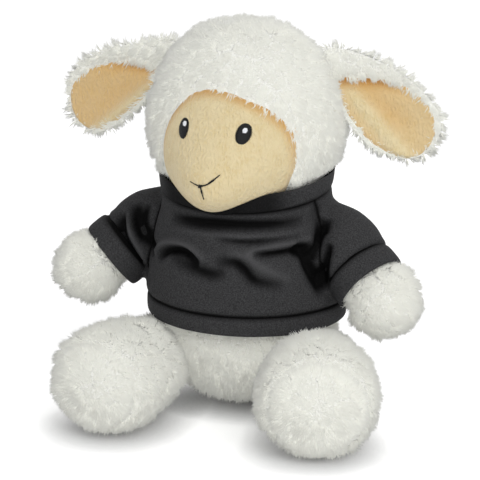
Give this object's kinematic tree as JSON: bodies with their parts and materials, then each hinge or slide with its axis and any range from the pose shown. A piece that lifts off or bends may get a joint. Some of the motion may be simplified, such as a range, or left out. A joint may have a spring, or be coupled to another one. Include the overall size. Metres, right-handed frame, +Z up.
{
  "type": "plush sheep",
  "caption": "Sitting stuffed lamb with white curly pile, tan face and drooping ears, in a plain black short-sleeved jersey shirt; its head, ears, arms and legs move.",
  "frame": {"origin": "on the flat patch that the seat rests on, below the middle of the torso", "axes": "+Z up, -Y the way the chest faces, +X the lamb's own left"},
  "size_m": [0.1975, 0.1328, 0.195],
  "materials": {
    "white_plush": "short curly white plush pile, matt",
    "tan_velour": "short smooth tan pile, matt",
    "black_jersey": "plain black knitted jersey, matt",
    "black_thread": "black embroidery thread, slight sheen",
    "white_thread": "white embroidery thread, slight sheen",
    "fibre_filling": "loose polyester fibre, hidden inside",
    "bean_pouch_cloth": "woven pouch of plastic pellets, hidden inside"
  },
  "bodies": {
    "torso": {"torso_cover": "white_plush", "torso_stuffing": "fibre_filling", "bean_pouch": "bean_pouch_cloth", "shirt_front": "black_jersey", "shirt_back": "black_jersey", "shirt_hem_band": "black_jersey", "shirt_neckband": "black_jersey"},
    "neck": {"neck_stuffing": "fibre_filling"},
    "head": {"head_cover": "white_plush", "face_panel": "tan_velour", "head_stuffing": "fibre_filling", "eye_left": "black_thread", "eye_right": "black_thread", "eye_glint_left": "white_thread", "eye_glint_right": "white_thread", "nose_stitch": "black_thread", "mouth_stitch": "black_thread"},
    "ear_left": {"ear_back_left": "white_plush", "ear_lining_left": "tan_velour"},
    "arm_left": {"arm_cover_left": "white_plush", "arm_stuffing_left": "fibre_filling", "shirt_sleeve_left": "black_jersey", "sleeve_cuff_left": "black_jersey"},
    "leg_left": {"leg_cover_left": "white_plush", "sole_panel_left": "white_plush", "leg_stuffing_left": "fibre_filling"},
    "ear_right": {"ear_back_right": "white_plush", "ear_lining_right": "tan_velour"},
    "arm_right": {"arm_cover_right": "white_plush", "arm_stuffing_right": "fibre_filling", "shirt_sleeve_right": "black_jersey", "sleeve_cuff_right": "black_jersey"},
    "leg_right": {"leg_cover_right": "white_plush", "sole_panel_right": "white_plush", "leg_stuffing_right": "fibre_filling"}
  },
  "joints": [
    {"name": "head_turn", "type": "hinge", "parent": "torso", "child": "neck", "pos_m": [0, 0.001, 0.097], "axis": [0, 0, 1], "range_deg": [-20, 20], "stiffness_Nm_per_rad": 0.06},
    {"name": "head_nod", "type": "hinge", "parent": "neck", "child": "head", "pos_m": [0, 0.001, 0.097], "axis": [0.9976, -0.0698, 0], "range_deg": [-8, 0], "stiffness_Nm_per_rad": 0.25},
    {"name": "ear_flap_left", "type": "hinge", "parent": "head", "child": "ear_left", "pos_m": [0.05462, 0.00857, 0.17226], "axis": [0.1392, -0.9903, 0], "range_deg": [-6, 35], "stiffness_Nm_per_rad": 0.01},
    {"name": "ear_flap_right", "type": "hinge", "parent": "head", "child": "ear_right", "pos_m": [-0.05516, 0.01666, 0.16722], "axis": [0.2756, 0.9613, 0], "range_deg": [-6, 35], "stiffness_Nm_per_rad": 0.01},
    {"name": "arm_swing_left", "type": "hinge", "parent": "torso", "child": "arm_left", "pos_m": [0.04, 0.003, 0.0885], "axis": [-1, 0, 0], "range_deg": [-40, 90], "stiffness_Nm_per_rad": 0.02},
    {"name": "arm_swing_right", "type": "hinge", "parent": "torso", "child": "arm_right", "pos_m": [-0.04, 0.003, 0.0885], "axis": [-1, 0, 0], "range_deg": [-40, 90], "stiffness_Nm_per_rad": 0.02},
    {"name": "leg_swing_left", "type": "hinge", "parent": "torso", "child": "leg_left", "pos_m": [0.04, -0.012, 0.028], "axis": [-1, 0, 0], "range_deg": [-75, 10], "stiffness_Nm_per_rad": 0.03},
    {"name": "leg_swing_right", "type": "hinge", "parent": "torso", "child": "leg_right", "pos_m": [-0.04, -0.012, 0.028], "axis": [-1, 0, 0], "range_deg": [-75, 10], "stiffness_Nm_per_rad": 0.03}
  ]
}
